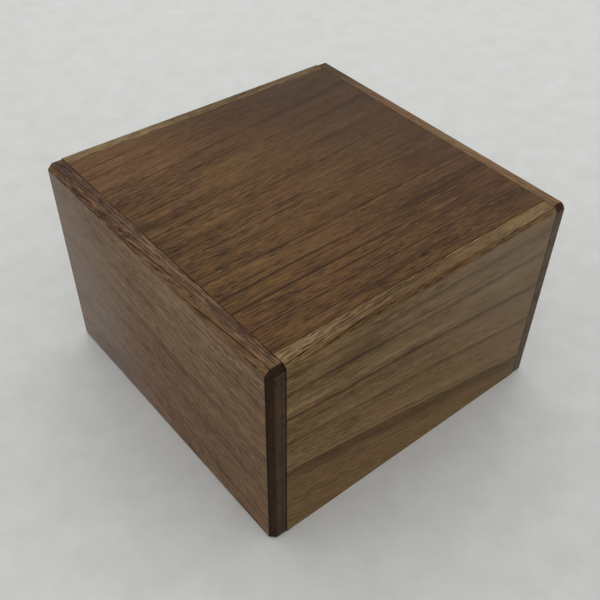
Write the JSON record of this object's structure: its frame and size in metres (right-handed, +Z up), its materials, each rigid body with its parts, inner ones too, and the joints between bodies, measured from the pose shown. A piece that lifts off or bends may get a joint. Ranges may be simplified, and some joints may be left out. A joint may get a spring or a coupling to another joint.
{
  "type": "sliding puzzle box",
  "caption": "Square walnut puzzle box: a hidden sliding lid lifts both end panels as it opens, over a pale lined compartment with a hidden key strip.",
  "frame": {"origin": "middle of the box's underside, where it stands", "axes": "+X to the right end panel, +Y to the back board, the way the lid slides, +Z up"},
  "size_m": [0.1, 0.1, 0.064],
  "materials": {
    "walnut_top": "satin",
    "walnut_end": "satin",
    "walnut_side": "satin",
    "walnut_bottom": "satin",
    "pale_lining": "bare, sanded",
    "pale_frame": "bare, sanded",
    "pin_wood": "bare, sanded"
  },
  "bodies": {
    "carcass": {"front_panel": "walnut_side", "bottom_panel": "walnut_bottom", "left_end_wall": "pale_frame", "right_end_wall": "pale_frame", "inner_left_wall": "pale_lining", "inner_right_wall": "pale_lining", "inner_front_wall": "pale_lining", "inner_back_wall": "pale_lining", "inner_floor": "pale_lining", "left_front_rail": "pale_frame", "left_back_rail": "pale_frame", "right_front_rail": "pale_frame", "right_back_rail": "pale_frame"},
    "lid": {"top_panel": "walnut_top", "back_panel": "walnut_side", "lid_keeper": "walnut_bottom", "lid_corner_batten": "pale_frame", "lid_left_cleat": "pale_frame", "lid_right_cleat": "pale_frame", "left_drive_pin": "pin_wood", "right_drive_pin": "pin_wood"},
    "left_end_panel": {"left_end_panel": "walnut_end"},
    "right_end_panel": {"right_end_panel": "walnut_end"},
    "bottom_key": {"bottom_key": "walnut_bottom"}
  },
  "joints": [
    {"name": "lid_slide", "type": "slide", "parent": "carcass", "child": "lid", "axis": [0, 1, 0], "range_m": [0, 0.07]},
    {"name": "left_panel_rise", "type": "slide", "parent": "carcass", "child": "left_end_panel", "axis": [0, 0, 1], "range_m": [0, 0.014]},
    {"name": "right_panel_rise", "type": "slide", "parent": "carcass", "child": "right_end_panel", "axis": [0, 0, 1], "range_m": [0, 0.014]},
    {"name": "bottom_key_slide", "type": "slide", "parent": "carcass", "child": "bottom_key", "axis": [-1, 0, 0], "range_m": [0, 0.0026]}
  ],
  "couplings": [
    {"joint": "left_panel_rise", "follows": "lid_slide", "ratio": 0.2},
    {"joint": "right_panel_rise", "follows": "lid_slide", "ratio": 0.2}
  ]
}
